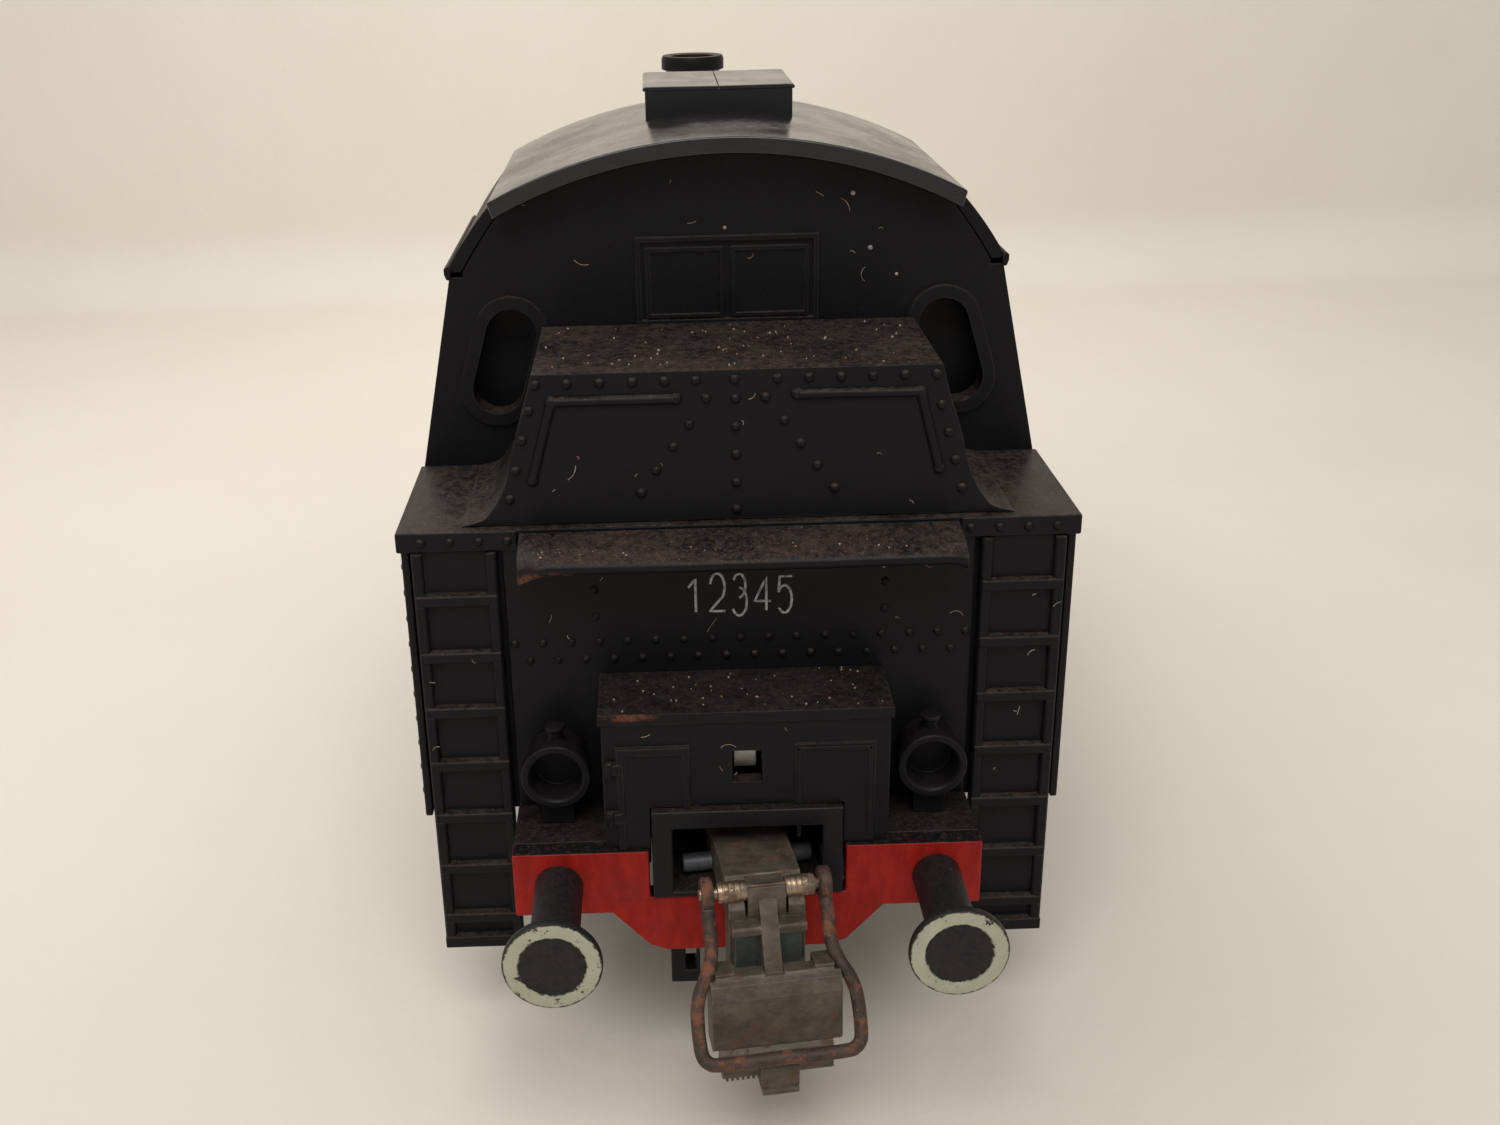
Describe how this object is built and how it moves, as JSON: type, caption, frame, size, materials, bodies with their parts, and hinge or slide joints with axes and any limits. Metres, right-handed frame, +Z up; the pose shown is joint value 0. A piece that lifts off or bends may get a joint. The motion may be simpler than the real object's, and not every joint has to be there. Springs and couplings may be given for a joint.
{
  "type": "clockwork toy locomotive",
  "caption": "Small clockwork-driven toy tank locomotive: cab, bunker, side tanks, boiler, spoked wheels with rods, buffers and loop couplings.",
  "frame": {"origin": "under the middle of the locomotive, on the plane that the wheel flanges touch", "axes": "+Z up, +Y towards the chimney end, -Y towards the bunker end seen in the picture, +X to the right seen from the bunker end"},
  "size_m": [0.0356, 0.1142, 0.0509],
  "materials": {
    "black_plastic": "satin black moulded styrene, dusty on top, worn brown at edges",
    "red_plastic": "satin red paint, chipped and brushed at the edges",
    "black_metal": "semi-gloss black paint on cast metal",
    "buffer_metal": "black with a pale grey-green painted ring on the head, chipped",
    "steel": "plain bright steel, lightly oiled",
    "brass": "stamped clock brass",
    "spring_steel": "blued spring strip",
    "wheel_red": "red spoked centre, bright steel tyre",
    "coupling_metal": "grey-brown cast metal, tarnished",
    "rusty_wire": "dark wire with rust"
  },
  "bodies": {
    "body_and_frame": {"bunker_shell": "black_plastic", "bunker_extension": "black_plastic", "rear_ledge": "black_plastic", "cab_shell": "black_plastic", "cab_roof": "black_plastic", "roof_ventilator": "black_plastic", "boiler_barrel": "black_plastic", "smokebox": "black_plastic", "smokebox_door": "black_plastic", "chimney": "black_plastic", "steam_dome": "black_plastic", "sand_dome": "black_plastic", "rear_toolbox": "black_plastic", "rear_footplate": "black_plastic", "front_footplate": "black_plastic", "ladder_left": "black_plastic", "ladder_right": "black_plastic", "side_tank_left": "black_plastic", "side_tank_right": "black_plastic", "cylinder_left": "black_plastic", "cylinder_right": "black_plastic", "frame_plate_left": "black_metal", "frame_plate_right": "black_metal", "rear_beam": "red_plastic", "front_beam": "red_plastic", "rear_coupling_pocket": "black_metal", "front_coupling_pocket": "black_metal", "rear_spacer": "black_metal", "front_spacer": "black_metal", "rear_buffer_left": "buffer_metal", "rear_buffer_right": "buffer_metal", "front_buffer_left": "buffer_metal", "front_buffer_right": "buffer_metal", "rear_lamp_left": "black_plastic", "rear_lamp_right": "black_plastic", "front_lamp_left": "black_plastic", "front_lamp_right": "black_plastic"},
    "rear_wheelset": {"rear_axle": "steel", "rear_wheel_left": "wheel_red", "rear_wheel_right": "wheel_red"},
    "middle_wheelset": {"middle_axle": "steel", "middle_wheel_left": "wheel_red", "middle_wheel_right": "wheel_red"},
    "front_wheelset": {"front_axle": "steel", "front_wheel_left": "wheel_red", "front_wheel_right": "wheel_red"},
    "left_rod": {"coupling_rod_left": "steel"},
    "right_rod": {"coupling_rod_right": "steel"},
    "barrel": {"spring_barrel": "brass", "mainspring": "spring_steel"},
    "winding": {"winding_arbor": "steel"},
    "click": {"click": "steel"},
    "second_gear": {"second_wheel": "brass"},
    "third_gear": {"third_wheel": "brass"},
    "governor": {"governor": "brass"},
    "brake": {"brake_rod": "steel"},
    "rear_coupling": {"rear_coupling_head": "coupling_metal"},
    "rear_loop": {"rear_coupling_loop": "rusty_wire"},
    "front_coupling": {"front_coupling_head": "coupling_metal"},
    "front_loop": {"front_coupling_loop": "rusty_wire"}
  },
  "joints": [
    {"name": "middle_axle_spin", "type": "hinge", "parent": "body_and_frame", "child": "middle_wheelset", "pos_m": [0, 0, 0.0073], "axis": [1, 0, 0], "continuous": true},
    {"name": "rear_axle_spin", "type": "hinge", "parent": "body_and_frame", "child": "rear_wheelset", "pos_m": [0, -0.0184, 0.0073], "axis": [1, 0, 0], "continuous": true},
    {"name": "front_axle_spin", "type": "hinge", "parent": "body_and_frame", "child": "front_wheelset", "pos_m": [0, 0.0184, 0.0073], "axis": [1, 0, 0], "continuous": true},
    {"name": "left_rod_turn", "type": "hinge", "parent": "middle_wheelset", "child": "left_rod", "pos_m": [-0.01078, 0, 0.0041], "axis": [1, 0, 0], "continuous": true},
    {"name": "right_rod_turn", "type": "hinge", "parent": "middle_wheelset", "child": "right_rod", "pos_m": [0.01078, 0.0032, 0.0073], "axis": [1, 0, 0], "continuous": true},
    {"name": "second_wheel_spin", "type": "hinge", "parent": "body_and_frame", "child": "second_gear", "pos_m": [0, 0.0011, 0.0178], "axis": [1, 0, 0], "continuous": true},
    {"name": "barrel_spin", "type": "hinge", "parent": "body_and_frame", "child": "barrel", "pos_m": [0, -0.00954, 0.02232], "axis": [1, 0, 0], "continuous": true},
    {"name": "third_wheel_spin", "type": "hinge", "parent": "body_and_frame", "child": "third_gear", "pos_m": [0, 0.01086, 0.02024], "axis": [1, 0, 0], "continuous": true},
    {"name": "governor_spin", "type": "hinge", "parent": "body_and_frame", "child": "governor", "pos_m": [0, 0.01828, 0.01709], "axis": [1, 0, 0], "continuous": true},
    {"name": "winding_spin", "type": "hinge", "parent": "body_and_frame", "child": "winding", "pos_m": [0, -0.00954, 0.02232], "axis": [1, 0, 0], "continuous": true},
    {"name": "click_lift", "type": "hinge", "parent": "body_and_frame", "child": "click", "pos_m": [0.0074, -0.01514, 0.01912], "axis": [1, 0, 0], "range_deg": [0, 12], "stiffness_Nm_per_rad": 0.00002},
    {"name": "brake_slide", "type": "slide", "parent": "body_and_frame", "child": "brake", "axis": [0, 1, 0], "range_m": [0, 0.0012]},
    {"name": "rear_coupling_swing", "type": "hinge", "parent": "body_and_frame", "child": "rear_coupling", "pos_m": [0, -0.04603, 0.0135], "axis": [0, 0, 1], "range_deg": [-20, 10]},
    {"name": "rear_loop_lift", "type": "hinge", "parent": "rear_coupling", "child": "rear_loop", "pos_m": [0.0007, -0.05174, 0.01445], "axis": [-0.9925, -0.1219, 0], "range_deg": [0, 70]},
    {"name": "front_coupling_swing", "type": "hinge", "parent": "body_and_frame", "child": "front_coupling", "pos_m": [0, 0.04603, 0.0135], "axis": [0, 0, 1], "range_deg": [-20, 10]},
    {"name": "front_loop_lift", "type": "hinge", "parent": "front_coupling", "child": "front_loop", "pos_m": [-0.0007, 0.05174, 0.01445], "axis": [0.9925, 0.1219, 0], "range_deg": [0, 70]}
  ],
  "couplings": [
    {"joint": "rear_axle_spin", "follows": "middle_axle_spin", "ratio": 1},
    {"joint": "front_axle_spin", "follows": "middle_axle_spin", "ratio": 1},
    {"joint": "left_rod_turn", "follows": "middle_axle_spin", "ratio": -1},
    {"joint": "right_rod_turn", "follows": "middle_axle_spin", "ratio": -1},
    {"joint": "second_wheel_spin", "follows": "middle_axle_spin", "ratio": -0.4},
    {"joint": "barrel_spin", "follows": "middle_axle_spin", "ratio": 0.11111},
    {"joint": "third_wheel_spin", "follows": "middle_axle_spin", "ratio": 1.2},
    {"joint": "governor_spin", "follows": "middle_axle_spin", "ratio": -3.6}
  ]
}
